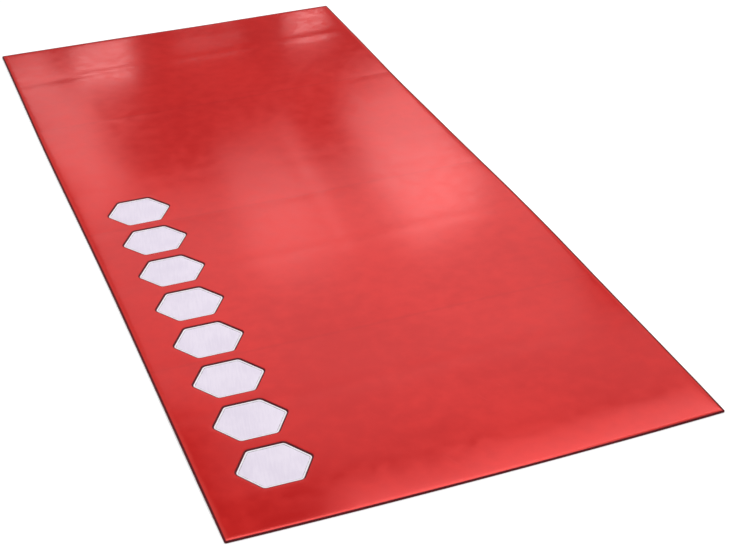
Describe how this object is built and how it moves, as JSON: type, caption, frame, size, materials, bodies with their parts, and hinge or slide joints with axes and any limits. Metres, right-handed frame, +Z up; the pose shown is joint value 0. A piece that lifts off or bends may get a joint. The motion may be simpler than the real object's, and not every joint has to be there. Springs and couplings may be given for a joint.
{
  "type": "folding gym mat",
  "caption": "Thin rectangular foam exercise mat with a glossy vinyl top, sunk hexagonal inlays along one side and crosswise folds that close it like a book for storage.",
  "frame": {"origin": "centre of the mat's footprint, on the floor that it lies on", "axes": "+X to the mat's right, +Y along the mat to the far end, +Z up; the inlays run along the -X side from a little past the middle to near the -Y end"},
  "size_m": [0.8, 1.8, 0.005],
  "materials": {
    "top_vinyl": "satin",
    "foam": "matte",
    "base_vinyl": "matte",
    "rim_seal": "satin",
    "inlay_vinyl": "satin"
  },
  "bodies": {
    "far_flap": {"far_flap_top_cover": "top_vinyl", "far_flap_foam_core": "foam", "far_flap_base_cover": "base_vinyl", "far_flap_left_seal": "rim_seal", "far_flap_right_seal": "rim_seal", "far_end_seal": "rim_seal"},
    "far_panel": {"far_panel_top_cover": "top_vinyl", "far_panel_foam_core": "foam", "far_panel_base_cover": "base_vinyl", "far_panel_left_seal": "rim_seal", "far_panel_right_seal": "rim_seal", "emblem_inlay_1": "inlay_vinyl"},
    "spine": {"spine_top_cover": "top_vinyl", "spine_foam_core": "foam", "spine_base_cover": "base_vinyl", "spine_left_seal": "rim_seal", "spine_right_seal": "rim_seal"},
    "near_panel": {"near_panel_top_cover": "top_vinyl", "near_panel_foam_core": "foam", "near_panel_base_cover": "base_vinyl", "near_panel_left_seal": "rim_seal", "near_panel_right_seal": "rim_seal", "emblem_inlay_2": "inlay_vinyl", "emblem_inlay_3": "inlay_vinyl", "emblem_inlay_4": "inlay_vinyl", "emblem_inlay_5": "inlay_vinyl"},
    "near_flap": {"near_flap_top_cover": "top_vinyl", "near_flap_foam_core": "foam", "near_flap_base_cover": "base_vinyl", "near_flap_left_seal": "rim_seal", "near_flap_right_seal": "rim_seal", "near_end_seal": "rim_seal", "emblem_inlay_6": "inlay_vinyl", "emblem_inlay_7": "inlay_vinyl", "emblem_inlay_8": "inlay_vinyl"}
  },
  "joints": [
    {"name": "near_flap_fold", "type": "hinge", "parent": "near_panel", "child": "near_flap", "pos_m": [0, -0.47, 0.00525], "axis": [-1, 0, 0], "range_deg": [0, 180]},
    {"name": "centre_fold_near", "type": "hinge", "parent": "near_panel", "child": "spine", "pos_m": [0, -0.0055, 0.00525], "axis": [1, 0, 0], "range_deg": [0, 90]},
    {"name": "centre_fold_far", "type": "hinge", "parent": "spine", "child": "far_panel", "pos_m": [0, 0.0055, 0.00525], "axis": [1, 0, 0], "range_deg": [0, 90]},
    {"name": "far_flap_fold", "type": "hinge", "parent": "far_panel", "child": "far_flap", "pos_m": [0, 0.47, 0.00525], "axis": [1, 0, 0], "range_deg": [0, 180]}
  ],
  "couplings": [
    {"joint": "centre_fold_far", "follows": "centre_fold_near", "ratio": 1}
  ]
}
